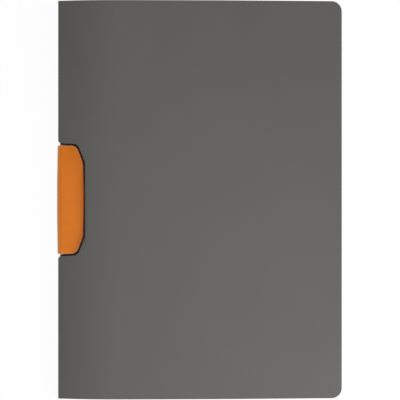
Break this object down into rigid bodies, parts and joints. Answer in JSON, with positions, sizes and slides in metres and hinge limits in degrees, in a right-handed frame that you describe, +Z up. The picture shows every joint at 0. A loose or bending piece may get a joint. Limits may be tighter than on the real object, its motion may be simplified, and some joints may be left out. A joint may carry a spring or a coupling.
{
  "type": "clip folder",
  "caption": "Creased plastic A4 cover with a swing-out clip let into its spine, which holds loose sheets without punching them.",
  "frame": {"origin": "on the table, under the middle of the closed folder", "axes": "+X from the spine to the fore-edge, +Y along the spine towards the head, +Z up through the closed folder"},
  "size_m": [0.2226, 0.31, 0.0112],
  "materials": {
    "cover": "fine grained polypropylene sheet, dark warm grey, satin",
    "clip_plastic": "moulded orange plastic, satin gloss",
    "black_plastic": "moulded black plastic, matte",
    "spring_steel": "bright rolled steel",
    "grip_rubber": "dark soft rubber, matte"
  },
  "bodies": {
    "back": {"back_cover": "cover", "base_plate": "black_plastic", "base_pad": "grip_rubber", "hinge_bar": "spring_steel", "rivet_1": "spring_steel", "rivet_2": "spring_steel", "rivet_3": "spring_steel", "rivet_4": "spring_steel"},
    "spine": {"spine_head": "cover", "spine_foot": "cover"},
    "front": {"front_cover": "cover"},
    "clip": {"clip_jaw": "clip_plastic", "leaf_spring_head": "spring_steel", "leaf_spring_foot": "spring_steel", "spring_retainer": "black_plastic", "grip_strip": "grip_rubber"}
  },
  "joints": [
    {"name": "spine_fold", "type": "hinge", "parent": "back", "child": "spine", "pos_m": [-0.11013, 0, 0], "axis": [0, -1, 0], "range_deg": [0, 180]},
    {"name": "cover_fold", "type": "hinge", "parent": "spine", "child": "front", "pos_m": [-0.11013, 0, 0.007], "axis": [0, -1, 0], "range_deg": [0, 180]},
    {"name": "clip_swing", "type": "hinge", "parent": "back", "child": "clip", "pos_m": [-0.10727, 0, 0.0042], "axis": [0, -1, 0], "range_deg": [0, 180]}
  ]
}
